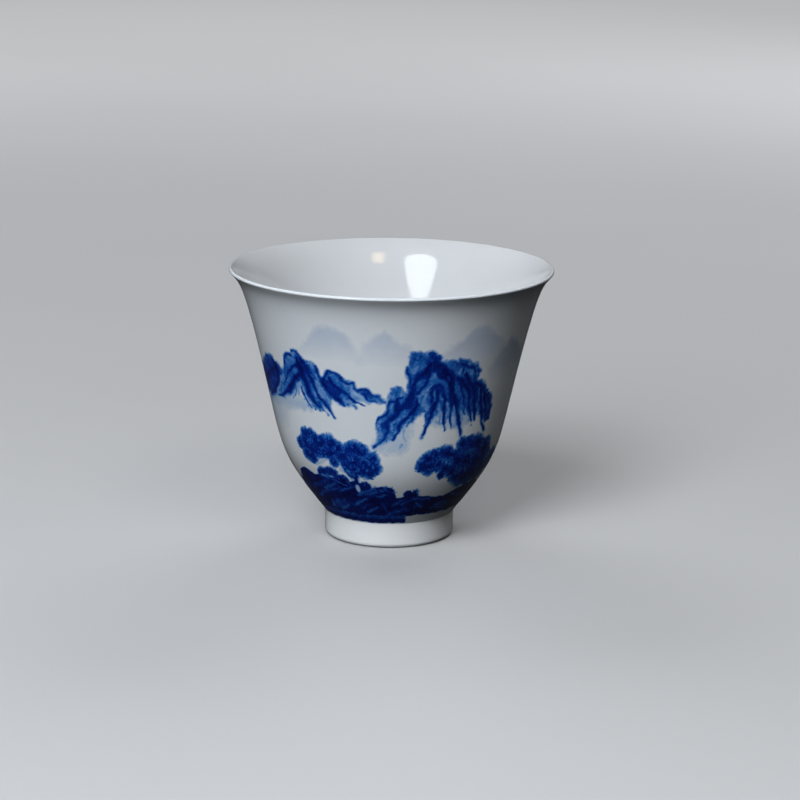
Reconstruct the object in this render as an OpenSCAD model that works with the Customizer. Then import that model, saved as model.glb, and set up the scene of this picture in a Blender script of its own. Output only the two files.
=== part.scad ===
// Bell-shaped porcelain tea cup on a turned foot ring, with a printed cobalt landscape.
// The origin is the centre of the foot's bearing edge. +Z is the cup's axis.
// -Y is the face of the cup on which the main mountain stands.

/* [Cup] */
// Diameter over the flared lip
rim_d = 75; // [72:0.5:78]
// Height from the foot's bearing edge to the crown of the lip
cup_h = 63.4; // [61:0.1:66]
// Outer diameter of the bowl where its two curves meet
belly_d = 59; // [57:0.5:61]
// Height at which the two curves meet
belly_z = 39.5; // [38:0.5:41]
// Lean of the wall there, in degrees from upright
belly_lean = 13; // [11:1:15]

/* [Wall] */
// Thickness of the lip, whose edge is a half round
lip_t = 0.8; // [0.7:0.1:1.1]
// Lean of the wall as it reaches the lip, in degrees from upright
lip_lean = 41; // [37:1:45]
// Thickness of the wall above the foot
wall_t = 1.8; // [1.6:0.1:2.2]
// Thickness of the floor at the middle
floor_t = 2.5; // [2.2:0.1:3]

/* [Foot ring] */
// Outer diameter of the foot ring
foot_d = 30.2; // [29:0.2:32]
// Height of the foot ring
foot_h = 5.9; // [5.4:0.1:6.4]
// Width of the foot ring where it joins the bowl
foot_root_w = 3.2; // [2.8:0.1:3.6]
// Width of the foot ring near the table
foot_edge_w = 2.6; // [2.4:0.1:2.8]
// Radius of the foot's outer bottom edge
foot_edge_r = 1.1; // [0.8:0.1:1.3]

/* [Coats] */
// Thickness of the glaze
glaze_t = 0.2; // [0.15:0.05:0.3]
// Thickness of the printed cobalt film
film_t = 0.06; // [0.05:0.01:0.1]
// Angle at which the printed base line stops, where the transfer sheet's ends meet
seam_angle = 13; // [5:1:20]

/* [Hidden] */
$fn = 180;

// A lean is an angle from upright: the direction up along such a wall, and the one out of it.
function along(lean) = [sin(lean), cos(lean)];
function outward(lean) = [cos(lean), -sin(lean)];

// The outer profile is two cubic curves, [radius, height], and the lip's arc.
foot_r = foot_d / 2;
lip_r = lip_t / 2;
lip_mid = [rim_d / 2 - lip_r, cup_h - lip_r];
lip_root = lip_mid + lip_r * outward(lip_lean);
foot_root = [foot_r, foot_h];
belly = [belly_d / 2, belly_z];
foot_lean = 38;
foot_reach = 18;
belly_reach_down = 20;
belly_reach_up = 21.2;
lip_reach = 3.4;
lower_curve = [
    foot_root, foot_root + foot_reach * along(foot_lean),
    belly - belly_reach_down * along(belly_lean), belly
];
upper_curve = [
    belly, belly + belly_reach_up * along(belly_lean),
    lip_root - lip_reach * along(lip_lean), lip_root
];

function bezier(c, t) =
    pow(1 - t, 3) * c[0] + 3 * pow(1 - t, 2) * t * c[1]
    + 3 * (1 - t) * t * t * c[2] + pow(t, 3) * c[3];
function slope(c, t) =
    let (d = pow(1 - t, 2) * (c[1] - c[0]) + 2 * (1 - t) * t * (c[2] - c[1])
        + t * t * (c[3] - c[2]))
    d / norm(d);

// u runs from 0 at the foot ring to 1 at the belly and 2 at the lip.
function wall(u) = u < 1 ? bezier(lower_curve, u) : bezier(upper_curve, u - 1);
function wall_slope(u) = u < 1 ? slope(lower_curve, u) : slope(upper_curve, u - 1);
function wall_out(u) = let (d = wall_slope(u)) [d.y, -d.x];
function thickness(u) = wall_t + (lip_t - wall_t) * u / 2;

// Points of the outside, the lip and the inside, moved into the wall by depth.
u_step = 1 / 16;
function outer_points(depth, u0 = 0, u1 = 2) =
    [for (u = [u0 : u_step : u1 + 0.001]) wall(u) - depth * wall_out(u)];
// The two sides of the lip share its crown, at 90 degrees, so that the glazes meet at any lean.
outer_lip_steps = 9;
inner_lip_steps = 4;
function lip_point(depth, a) = lip_mid + (lip_r - depth) * [cos(a), sin(a)];
function outer_lip_points(depth) =
    [for (i = [1 : outer_lip_steps])
        lip_point(depth, (90 + lip_lean) * i / outer_lip_steps - lip_lean)];
function inner_lip_points(depth) =
    [for (i = [0 : inner_lip_steps])
        lip_point(depth, 90 + (90 - lip_lean) * i / inner_lip_steps)];
function inner_points(depth) =
    [for (u = [2 - u_step : -u_step : floor_u + u_step / 2]) wall(u) - (thickness(u) - depth) * wall_out(u)];

// The floor is a third curve, from the wall at floor_u to the middle of the cup.
floor_u = 3 * u_step;
floor_z = foot_h + floor_t;
floor_flat_r = 9;
floor_reach = 3;
floor_end = wall(floor_u) - thickness(floor_u) * wall_out(floor_u);
floor_curve = [
    floor_end, floor_end - floor_reach * wall_slope(floor_u),
    [floor_flat_r, floor_z], [0, floor_z]
];
function floor_points(depth) =
    [for (t = [0 : 0.125 : 1])
        let (d = slope(floor_curve, t)) bezier(floor_curve, t) - depth * [d.y, -d.x]];
function inside_points(depth) =
    concat(inner_lip_points(depth), inner_points(depth), floor_points(depth));
function outside_points(depth) =
    concat(outer_points(depth), outer_lip_points(depth));
function reversed(list) = [for (i = [len(list) - 1 : -1 : 0]) list[i]];

// Section of the foot ring under the glaze.
ring_r = foot_r - glaze_t;
ring_root_in = foot_r - foot_root_w;
ring_edge_in = foot_r - foot_edge_w;
ring_chamfer = 0.6;
glaze_stop = -40;
function foot_edge_points(radius, a0) =
    [for (a = [a0 : 10 : 0]) [ring_r - foot_edge_r, foot_edge_r] + radius * [cos(a), sin(a)]];

porcelain = "whitesmoke";
glazed = "ghostwhite";
cobalt = "mediumblue";
wash = "lightsteelblue";

module porcelain_bowl() {
    color(porcelain)
        rotate_extrude()
            polygon(concat(
                [[0, foot_h], [ring_r, foot_h]], outside_points(glaze_t), inside_points(glaze_t)
            ));
}

module foot_ring() {
    color(porcelain)
        rotate_extrude()
            polygon(concat(
                [[ring_root_in, foot_h], [ring_edge_in, ring_chamfer],
                    [ring_edge_in + ring_chamfer, 0]],
                foot_edge_points(foot_edge_r, -90),
                [[ring_r, foot_h]]
            ));
}

module outer_glaze() {
    color(glazed)
        rotate_extrude()
            polygon(concat(
                outside_points(0), reversed(outside_points(glaze_t)), [[ring_r, foot_h]]
            ));
}

module inner_glaze() {
    color(glazed)
        rotate_extrude()
            polygon(concat(inside_points(glaze_t), reversed(inside_points(0))));
}

module foot_glaze() {
    color(glazed)
        rotate_extrude()
            polygon(concat(
                foot_edge_points(foot_edge_r + glaze_t, glaze_stop), [[foot_r, foot_h], [ring_r, foot_h]],
                reversed(foot_edge_points(foot_edge_r, glaze_stop))
            ));
}

module base_glaze() {
    color(glazed)
        rotate_extrude()
            polygon([
                [0, foot_h], [ring_root_in, foot_h], [ring_edge_in, ring_chamfer],
                [ring_edge_in - glaze_t, ring_chamfer], [ring_root_in - glaze_t, foot_h - glaze_t],
                [0, foot_h - glaze_t]
            ]);
}

// The print: films on the glaze. Their outlines are [angle from -Y towards +X, height].
wall_radius = [for (u = [0 : u_step : 2]) [wall(u).y, wall(u).x]];
function flattened(outline, mid) =
    [for (p = outline) [lookup(p.y, wall_radius) * sin(p.x - mid), p.y]];

module film_shell(u0, u1) {
    rotate_extrude()
        polygon(concat(outer_points(-film_t, u0, u1), reversed(outer_points(0, u0, u1))));
}

// One film with this outline, cut through the shell on the side that faces the angle mid.
module film(outline, mid, u0 = 0, u1 = 1.5) {
    intersection() {
        film_shell(u0, u1);
        rotate([0, 0, mid])
            rotate([90, 0, 0])
                linear_extrude(height = rim_d / 2)
                    polygon(flattened(outline, mid));
    }
}

// A tree group is a bunch of round clumps, [angle, height, radius], with many short sides.
module tree_film(clumps, mid, u0 = 0, u1 = 1) {
    intersection() {
        film_shell(u0, u1);
        rotate([0, 0, mid])
            rotate([90, 0, 0])
                linear_extrude(height = rim_d / 2)
                    for (c = clumps)
                        translate(flattened([c], mid)[0])
                            circle(r = c.z, $fn = 12);
    }
}

hill_left = [
    [-36, 50.5], [-33, 53], [-31, 54.5], [-27.5, 55.5], [-21, 54.8], [-18, 54],
    [-16, 52], [-14.5, 50], [-20, 48.8], [-30, 48.8]
];
hill_middle = [
    [-12, 50], [-10, 52.3], [-7.5, 53.6], [-2.5, 55], [0.5, 54.4], [2.5, 52.8],
    [5, 51.5], [5, 48], [-3, 46.5], [-9, 47.5]
];
hill_right = [
    [24, 50.5], [28, 51.6], [32, 53.5], [34.5, 54.9], [38, 55.3], [42, 54],
    [46, 52.8], [49.5, 51.5], [52, 49], [48, 46.5], [42, 47], [32, 49]
];

module distant_hills() {
    color(wash) {
        film(hill_left, -25, 1, 1.75);
        film(hill_middle, -3, 1, 1.75);
        film(hill_right, 38, 1, 1.75);
    }
}

module left_range() {
    outline = [
        [-73, 43.4], [-68, 45.2], [-60, 45.4], [-57, 43.6], [-53, 43], [-50, 46], [-47, 47.6],
        [-43, 48.8], [-41, 48], [-39, 46.6], [-33, 45.6], [-30.5, 42.6], [-28, 44.4], [-24, 44.8],
        [-20, 43.1], [-15, 42.4], [-10, 41.2], [-5, 39.8], [-3.5, 38], [-11, 37], [-17, 36],
        [-22, 37], [-25, 33.6], [-30, 34], [-37, 34.8], [-44, 39], [-49, 36.5], [-57, 35.4],
        [-72, 35.4]
    ];
    color(cobalt) film(outline, -40, 0.75, 1.5);
}

module main_peak() {
    outline = [
        [-7.5, 27], [-6, 34], [-3, 35.5], [-1.5, 39], [0, 40.7], [3, 41.4], [7, 40.8], [6.6, 45],
        [8.3, 50], [12, 49.8], [17, 50.3], [21, 48.6], [24, 47.6], [30, 47.8], [38, 46.2],
        [41.5, 44.2], [42, 41.8], [48, 39], [52, 36], [49, 31.5], [42, 33], [36.5, 29.4],
        [30, 32], [26, 30.8], [20, 33], [15.5, 29.5], [12, 34], [6, 30], [1, 28.5]
    ];
    color(cobalt) film(outline, 22, 0.5, 1.75);
}

module left_trees() {
    clumps = [
        [-47, 25.5, 2.6], [-42.5, 27.2, 2.8], [-36.5, 26.2, 2.6], [-30.5, 26.8, 2.5],
        [-41, 23.4, 2.2], [-31, 23.4, 2.4], [-24.5, 24.6, 2.6], [-17, 25.9, 2.7],
        [-19, 21.6, 2.3], [-11, 23.6, 2.5], [-9.5, 21.5, 2.1]
    ];
    color(cobalt) tree_film(clumps, -28);
}

module right_trees() {
    clumps = [
        [17.5, 22.6, 2.3], [21.5, 23.6, 2.8], [27.5, 24.6, 2.6], [27, 21.8, 2.4],
        [33, 23.6, 3], [40, 26, 2.7], [39, 22, 3.2], [46, 25.6, 2.9], [46, 21.6, 3],
        [53, 25.4, 2.8], [53, 21, 3], [60, 23.6, 2.8], [66, 22, 2.6]
    ];
    color(cobalt) tree_film(clumps, 40);
}

// The shore is a printed band round the cup, with banks and bushes standing on it.
shore_low = 8.4;

module left_bank() {
    outline = [
        [-74, 12.4], [-68, 13.8], [-62, 16.4], [-58, 18.4], [-53, 18.8], [-46, 17.8],
        [-40, 18.6], [-31, 18.4], [-25, 18.6], [-21, 17.4], [-14, 17.8], [-10, 16.6], [2.5, 16.6],
        [3.5, 14], [9.5, 14], [11, 15.6], [16, 15.8], [17.5, 13.8], [17.5, shore_low],
        [-74, shore_low]
    ];
    color(cobalt) film(outline, -28, 0, 0.5);
}

module right_bank() {
    outline = [
        [18, 13.6], [26, 13.4], [34, 15.6], [42, 16.4], [52, 16.2], [62, 15.6], [72, 14.4],
        [84, 13], [84, shore_low], [18, shore_low]
    ];
    color(cobalt) film(outline, 51, 0, 0.5);
}

// A straight length along the first facet of the wall, between two fractions of it.
module base_line() {
    line_low = 0.15;
    line_high = 0.65;
    line_end = 360 + seam_angle;
    line_start = 75;
    facet = [wall(0), wall(u_step)];
    proud = [wall(0) + film_t * wall_out(0), wall(u_step) + film_t * wall_out(u_step)];
    color(cobalt)
        rotate([0, 0, line_start - 90])
            rotate_extrude(angle = line_end - line_start)
                polygon([
                    facet[0] + line_low * (facet[1] - facet[0]),
                    proud[0] + line_low * (proud[1] - proud[0]),
                    proud[0] + line_high * (proud[1] - proud[0]),
                    facet[0] + line_high * (facet[1] - facet[0])
                ]);
}

// The far side of the cup carries the same kind of landscape.
module back_hills() {
    hill_a = [
        [96, 50], [100, 52], [105, 53.4], [111, 53.8], [116, 52.6], [122, 51.4], [127, 49.6],
        [120, 48], [106, 48]
    ];
    hill_b = [
        [146, 47], [151, 49.6], [157, 52], [162, 53.6], [168, 53], [174, 51], [181, 49.8],
        [186, 47.4], [174, 45], [158, 44.6]
    ];
    hill_c = [
        [236, 49], [241, 51.4], [247, 53], [253, 54.2], [259, 53.2], [265, 51], [271, 49.2],
        [262, 47.8], [246, 47.8]
    ];
    color(wash) {
        film(hill_a, 111, 1, 1.75);
        film(hill_b, 166, 1, 1.75);
        film(hill_c, 253, 1, 1.75);
    }
}

module back_range() {
    near = [
        [88, 37], [92, 39.4], [97, 41.4], [102, 43.4], [106, 42.4], [111, 44.6], [117, 46.2],
        [122, 44], [128, 42], [136, 41], [143, 39.4], [150, 38], [142, 36], [130, 34.6],
        [117, 33.6], [102, 34.8]
    ];
    far = [
        [204, 37.6], [210, 40.4], [216, 42.6], [221, 45], [226, 46.6], [231, 44.4], [237, 42.8],
        [244, 43.8], [250, 42.2], [258, 40], [268, 38.4], [257, 36], [240, 34.4], [222, 34.6]
    ];
    color(cobalt) {
        film(near, 119, 0.75, 1.5);
        film(far, 236, 0.75, 1.5);
    }
}

module back_trees() {
    clumps = [
        [166, 22.4, 2.2], [172, 24.8, 2.5], [178.5, 26.8, 2.7], [185, 25.2, 2.6],
        [179, 22.6, 2.5], [191, 23.2, 2.4], [197, 22, 2]
    ];
    color(cobalt) tree_film(clumps, 182);
}

module back_bank() {
    bank_a = [
        [84.5, 13], [96, 12.4], [108, 12.8], [122, 13.8], [136, 13], [150, 14.2],
        [150, shore_low], [84.5, shore_low]
    ];
    bank_b = [
        [150.5, 14.2], [160, 16.2], [170, 17.6], [184, 18], [198, 17.2], [208, 15], [216, 13.4],
        [216, shore_low], [150.5, shore_low]
    ];
    bank_c = [
        [216.5, 13.4], [230, 12.6], [246, 12.2], [262, 12.8], [274, 13], [285.5, 12.4],
        [285.5, shore_low], [216.5, shore_low]
    ];
    color(cobalt) {
        film(bank_a, 117, 0, 0.5);
        film(bank_b, 183, 0, 0.5);
        film(bank_c, 251, 0, 0.5);
    }
}

porcelain_bowl();
foot_ring();
outer_glaze();
inner_glaze();
foot_glaze();
base_glaze();
distant_hills();
left_range();
main_peak();
left_trees();
right_trees();
left_bank();
right_bank();
base_line();
back_hills();
back_range();
back_trees();
back_bank();
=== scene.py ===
"""A small bell-shaped porcelain teacup with a landscape printed round it in cobalt blue.

The pot's profile is worked out in millimetres from the same driving sizes as the CAD part. The print is
painted in code on a band of angle by height, then laid on the glaze as thin films with an ink attribute.
"""

import math

import bpy
import numpy as np
from mathutils import Matrix, Vector


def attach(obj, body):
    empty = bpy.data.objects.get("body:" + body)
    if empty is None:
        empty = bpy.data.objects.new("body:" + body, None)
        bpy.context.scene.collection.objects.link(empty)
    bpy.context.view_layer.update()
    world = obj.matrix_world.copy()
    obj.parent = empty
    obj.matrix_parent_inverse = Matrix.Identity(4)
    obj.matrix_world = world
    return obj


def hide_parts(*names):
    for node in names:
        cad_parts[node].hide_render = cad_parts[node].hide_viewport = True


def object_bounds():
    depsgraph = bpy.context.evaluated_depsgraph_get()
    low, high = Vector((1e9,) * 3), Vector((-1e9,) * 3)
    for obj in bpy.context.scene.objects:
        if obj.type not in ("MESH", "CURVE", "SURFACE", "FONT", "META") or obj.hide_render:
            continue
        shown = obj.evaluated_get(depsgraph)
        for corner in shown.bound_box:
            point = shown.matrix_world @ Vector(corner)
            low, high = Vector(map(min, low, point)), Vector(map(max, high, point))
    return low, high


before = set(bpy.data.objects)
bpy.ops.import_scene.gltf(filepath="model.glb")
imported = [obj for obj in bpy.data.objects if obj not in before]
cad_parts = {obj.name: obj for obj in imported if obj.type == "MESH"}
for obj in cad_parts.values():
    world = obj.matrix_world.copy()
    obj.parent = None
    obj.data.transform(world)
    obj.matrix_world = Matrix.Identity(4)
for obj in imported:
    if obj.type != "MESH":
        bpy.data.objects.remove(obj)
cad_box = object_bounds()

MM = 0.001

# ---------------------------------------------------------------- sizes, in millimetres

low_corner, high_corner = cad_box
RIM_D = (high_corner[0] - low_corner[0]) / MM
CUP_H = (high_corner[2] - low_corner[2]) / MM
BELLY_D = 59.0
BELLY_Z = 39.5
BELLY_LEAN = 13.0
LIP_T = 0.8
LIP_LEAN = 41.0
WALL_T = 1.8
FLOOR_T = 2.5
FOOT_D = 30.2
FOOT_H = 5.9
FOOT_LEAN = 38.0
RING_ROOT_T = 3.2
RING_EDGE_T = 2.6
RING_EDGE_R = 1.1
RING_CHAMFER = 0.6
GLAZE_T = 0.2
FLOOR_U = 3 / 16
FLOOR_FLAT_R = 9.0
GLAZE_STOP = -40

# how far each end of the wall's two curves reaches towards the other
FOOT_REACH = 18.0
BELLY_REACH_DOWN = 20.0
BELLY_REACH_UP = 21.2
LIP_REACH = 3.4

# steps along the profile, and round the pot
WALL_STEPS = 96
LIP_STEPS = 14
INSIDE_STEPS = 80
CROWN_STEPS = 8
FLOOR_STEPS = 32
CORNER_STEPS = 8
SECTORS = 288


# ---------------------------------------------------------------- the pot's profile


def along(lean):
    """The direction up a wall that leans out by this many degrees from upright."""
    return np.array([math.sin(math.radians(lean)), math.cos(math.radians(lean))])


def outward(lean):
    """The direction out of such a wall."""
    return np.array([math.cos(math.radians(lean)), -math.sin(math.radians(lean))])


def bezier(c, t):
    s = 1 - t
    return s**3 * c[0] + 3 * s * s * t * c[1] + 3 * s * t * t * c[2] + t**3 * c[3]


def bezier_slope(c, t):
    s = 1 - t
    d = s * s * (c[1] - c[0]) + 2 * s * t * (c[2] - c[1]) + t * t * (c[3] - c[2])
    return d / np.hypot(*d)


FOOT_R = FOOT_D / 2
LIP_R = LIP_T / 2
LIP_MID = np.array([RIM_D / 2 - LIP_R, CUP_H - LIP_R])
LIP_ROOT = LIP_MID + LIP_R * outward(LIP_LEAN)
FOOT_ROOT = np.array([FOOT_R, FOOT_H])
BELLY = np.array([BELLY_D / 2, BELLY_Z])
LOWER_CURVE = [
    FOOT_ROOT,
    FOOT_ROOT + FOOT_REACH * along(FOOT_LEAN),
    BELLY - BELLY_REACH_DOWN * along(BELLY_LEAN),
    BELLY,
]
UPPER_CURVE = [
    BELLY,
    BELLY + BELLY_REACH_UP * along(BELLY_LEAN),
    LIP_ROOT - LIP_REACH * along(LIP_LEAN),
    LIP_ROOT,
]


def wall(u):
    """The outer wall, [radius, height]: u is 0 at the foot, 1 at the belly and 2 at the lip."""
    return bezier(LOWER_CURVE, u) if u < 1 else bezier(UPPER_CURVE, u - 1)


def wall_slope(u):
    return bezier_slope(LOWER_CURVE, u) if u < 1 else bezier_slope(UPPER_CURVE, u - 1)


def wall_out(u):
    d = wall_slope(u)
    return np.array([d[1], -d[0]])


def thickness(u):
    return WALL_T + (LIP_T - WALL_T) * u / 2


def arc(mid, radius, start, stop, steps):
    """Points of an arc and the directions out of it, by angle in degrees."""
    turns = [math.radians(a) for a in np.linspace(start, stop, steps + 1)]
    ways = [np.array([math.cos(a), math.sin(a)]) for a in turns]
    return [(mid + radius * w, w) for w in ways]


def floor_curve():
    end = wall(FLOOR_U) - thickness(FLOOR_U) * wall_out(FLOOR_U)
    floor_z = FOOT_H + FLOOR_T
    return [
        end,
        end - 3 * wall_slope(FLOOR_U),
        np.array([FLOOR_FLAT_R, floor_z]),
        np.array([0, floor_z]),
    ]


def outside_profile():
    """Points and outward directions from the foot ring up to the top of the lip."""
    points = [(wall(u), wall_out(u)) for u in np.linspace(0, 2, WALL_STEPS + 1)]
    return points + arc(LIP_MID, LIP_R, -LIP_LEAN, 90, LIP_STEPS)[1:]


def inside_profile():
    """Points and directions into the cup from the top of the lip to the middle of the floor."""
    points = arc(LIP_MID, LIP_R, 90, 180 - LIP_LEAN, CROWN_STEPS)
    for u in np.linspace(2, FLOOR_U, INSIDE_STEPS + 1)[1:]:
        points.append((wall(u) - thickness(u) * wall_out(u), -wall_out(u)))
    curve = floor_curve()
    for t in np.linspace(0, 1, FLOOR_STEPS + 1)[1:]:
        d = bezier_slope(curve, t)
        points.append((bezier(curve, t), np.array([d[1], -d[0]])))
    return points


# ---------------------------------------------------------------- meshes


def new_piece(name, points, faces, material, normals=None):
    """A mesh object in metres from arrays of millimetre points and of faces."""
    mesh = bpy.data.meshes.new(name)
    mesh.from_pydata((np.asarray(points) * MM).tolist(), [], faces)
    mesh.update()
    mesh.shade_smooth()
    if normals is not None:
        mesh.normals_split_custom_set_from_vertices(np.asarray(normals).tolist())
    mesh.materials.append(material)
    piece = bpy.data.objects.new(name, mesh)
    bpy.context.scene.collection.objects.link(piece)
    return piece


def stand_for(piece, slot, *nodes):
    """Makes the piece ride on the pot in place of these CAD nodes."""
    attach(piece, "root")
    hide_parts(*nodes)


def coat(name, profile, depth, material):
    """A coat of this depth whose visible side is the profile: a closed shell turned about Z."""
    visible = [p for p, way in profile]
    hidden = [p - depth * way for p, way in reversed(profile)]
    ways = [way for p, way in profile] + [-way for p, way in reversed(profile)]
    return turned_piece(name, visible + hidden, ways, material)


def turned_piece(name, section, ways, material):
    """A closed section of points with the direction out of each, turned about Z.

    A point given twice, with a direction for each side, makes a sharp edge.
    """
    turns = np.arange(SECTORS) * 2 * math.pi / SECTORS
    section = np.array(section)
    ways = np.array(ways)
    section[:, 0] = np.maximum(section[:, 0], 0)
    count = len(section)
    east, north = np.sin(turns)[:, None], -np.cos(turns)[:, None]

    def swept(pairs):
        return np.stack(
            [pairs[:, 0] * east, pairs[:, 0] * north, pairs[:, 1] + 0 * east], axis=-1
        ).reshape(-1, 3)

    points, normals = swept(section), swept(ways)
    on_axis = section[:, 0] < 1e-6
    index = np.arange(SECTORS * count).reshape(SECTORS, count)
    index[:, on_axis] = index[0, on_axis]
    steps = np.hypot(*(np.roll(section, -1, axis=0) - section).T)
    joined = np.nonzero(steps > 1e-6)[0]
    faces = []
    for s in range(SECTORS):
        here, there = index[s], index[(s + 1) % SECTORS]
        for i in joined:
            j = (i + 1) % count
            ring = [here[i], there[i], there[j], here[j]]
            face = [int(v) for k, v in enumerate(ring) if v not in ring[:k]]
            if len(face) > 2:
                faces.append(face)
    used = np.unique(index)
    place = np.zeros(SECTORS * count, int)
    place[used] = np.arange(len(used))
    faces = [[int(place[v]) for v in face] for face in faces]
    return new_piece(name, points[used], faces, material, normals[used])


# ---------------------------------------------------------------- the painted band

# The band is a grid of angle by height. Angles are degrees from -Y towards +X, heights are millimetres.
STEP_ANGLE = 0.3
DEGREE_MM = 0.3  # about the width of a degree, low on the wall
STEP_HEIGHT = 0.15
BAND_LOW = 5.95
BAND_HIGH = 57.5
COLS = round(360 / STEP_ANGLE)
ROWS = round((BAND_HIGH - BAND_LOW) / STEP_HEIGHT) + 1
ANGLES = np.arange(COLS) * STEP_ANGLE - 180
HEIGHTS = BAND_LOW + np.arange(ROWS) * STEP_HEIGHT
FINE_U = np.linspace(0, 2, 801)
WALL_SAMPLES = np.array([wall(u) for u in FINE_U])
WALL_WAYS = np.array([wall_out(u) for u in FINE_U])
RADII = np.interp(HEIGHTS, WALL_SAMPLES[:, 1], WALL_SAMPLES[:, 0])
MM_PER_DEGREE = RADII * math.pi / 180

ink = np.zeros((ROWS, COLS))
owner = np.zeros((ROWS, COLS), int)
motifs = ["none"]


def start_motif(node):
    """What is painted from here on belongs to the film of this node."""
    if node not in motifs:
        motifs.append(node)
    start_motif.current = motifs.index(node)


def smooth(low, high, x):
    t = np.clip((x - low) / (high - low), 0, 1)
    return t * t * (3 - 2 * t)


def value_noise(size, seed):
    """Smooth noise from 0 to 1 with features of this many millimetres, without a seam."""
    random = np.random.default_rng(seed)
    round_count = max(4, round(180 / size))
    high_count = int((BAND_HIGH - BAND_LOW) / size) + 3
    grid = random.random((high_count, round_count))
    across = (ANGLES + 180) / 360 * round_count
    up = (HEIGHTS - BAND_LOW) / size
    column, row = np.floor(across).astype(int), np.floor(up).astype(int)
    s, t = smooth(0, 1, across - column), smooth(0, 1, up - row)[:, None]
    left, right = column % round_count, (column + 1) % round_count
    bottom = grid[row][:, left] * (1 - s) + grid[row][:, right] * s
    top = grid[row + 1][:, left] * (1 - s) + grid[row + 1][:, right] * s
    return bottom * (1 - t) + top * t


def cloud(size, seed, octaves):
    parts = [0.55**k * value_noise(size / 2**k, seed + k) for k in range(octaves)]
    return sum(parts) / sum(0.55**k for k in range(octaves))


EDGE_WOBBLE = cloud(1.2, 11, 3)
FINE_GRAIN = smooth(0.3, 0.7, value_noise(0.32, 21))
SLOW_TONE = cloud(2.4, 31, 4)
PATCHES = cloud(0.9, 41, 2)
SWAY_ACROSS = 0.9 * (cloud(1.8, 51, 2) - 0.5)
SWAY_UP = 0.9 * (cloud(1.8, 61, 2) - 0.5)


def window(a0, a1, z0, z1):
    """The part of the band within these angles and heights: its cells, its angles and its heights."""
    cols = np.arange(math.floor((a0 + 180) / STEP_ANGLE), math.ceil((a1 + 180) / STEP_ANGLE) + 1)
    first = max(0, math.floor((z0 - BAND_LOW) / STEP_HEIGHT))
    last = min(ROWS - 1, math.ceil((z1 - BAND_LOW) / STEP_HEIGHT))
    rows = np.arange(first, last + 1)
    return np.ix_(rows, cols % COLS), cols * STEP_ANGLE - 180.0, BAND_LOW + rows * STEP_HEIGHT


def around(angle, height, across, up):
    """The part of the band within these degrees and millimetres of a point."""
    return window(angle - across, angle + across, height - up, height + up)


def lay(at, cover, value, only_darker=True, grain=1.1):
    """Lays ink of this value on the cells, as much as cover says, and notes whose they are.

    Where the cover is partial it breaks up into fine grain, as ink does on a dry surface.
    """
    cover = np.clip(cover + grain * (FINE_GRAIN[at] - 0.5) * cover * (1 - cover), 0, 1)
    new = ink[at] + (value - ink[at]) * cover
    ink[at] = np.maximum(ink[at], new) if only_darker else new
    claimed = (cover > 0.5) | ((cover > 0.01) & (owner[at] == 0))
    owner[at] = np.where(claimed, start_motif.current, owner[at])


def mm_at(z):
    return float(np.interp(z, HEIGHTS, MM_PER_DEGREE))


def curved(points, per_span=6):
    """A smooth line through the points."""
    p = np.array(points, float)
    if len(p) < 3:
        t = np.linspace(0, 1, per_span + 1)[:, None]
        return p[0] * (1 - t) + p[-1] * t
    q = np.vstack([2 * p[0] - p[1], p, 2 * p[-1] - p[-2]])
    t = np.linspace(0, 1, per_span, endpoint=False)[:, None]
    spans = []
    for a, b, c, d in zip(q[:-3], q[1:-2], q[2:-1], q[3:]):
        bend = (2 * a - 5 * b + 4 * c - d) * t**2 + (3 * b - a - 3 * c + d) * t**3
        spans.append(0.5 * (2 * b + (c - a) * t + bend))
    return np.vstack(spans + [p[-1:]])


def line_distance(path, at, angles, heights):
    """Each cell's distance from a line in millimetres, and how far along the line that is, 0 to 1."""
    k = mm_at(path[:, 1].mean())
    x, y = angles[None, :] * k + SWAY_ACROSS[at], heights[:, None] + SWAY_UP[at]
    p = np.column_stack([path[:, 0] * k, path[:, 1]])
    lengths = np.hypot(*(p[1:] - p[:-1]).T)
    run = np.concatenate([[0], np.cumsum(lengths)])
    nearest = np.full((len(heights), len(angles)), 1e9)
    share = np.zeros_like(nearest)
    for (x0, y0), (x1, y1), start, length in zip(p[:-1], p[1:], run, lengths):
        t = ((x - x0) * (x1 - x0) + (y - y0) * (y1 - y0)) / max(length**2, 1e-9)
        t = np.clip(t, 0, 1)
        d = np.hypot(x - x0 - t * (x1 - x0), y - y0 - t * (y1 - y0))
        closer = d < nearest
        nearest = np.where(closer, d, nearest)
        share = np.where(closer, (start + t * length) / run[-1], share)
    return nearest, share


def brush(points, wide, value, thin=0.4, pale=0.25, only_darker=True):
    """A soft stroke that narrows to thin times its width, and loses this share of its ink."""
    path = curved(points)
    pad = wide + 0.5
    low, high = path.min(axis=0), path.max(axis=0)
    at, angles, heights = window(
        low[0] - pad / DEGREE_MM, high[0] + pad / DEGREE_MM, low[1] - pad, high[1] + pad
    )
    d, t = line_distance(path, at, angles, heights)
    half = wide / 2 * (1 - (1 - thin) * t**1.5) * (0.55 + 0.45 * smooth(0, 0.12, t))
    half = half * (0.5 + EDGE_WOBBLE[at])
    cover = np.exp(-((d / half) ** 2)) * (0.72 + 0.5 * PATCHES[at])
    lay(at, cover, value * (1 - pale * t), only_darker, grain=0.5)


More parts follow.
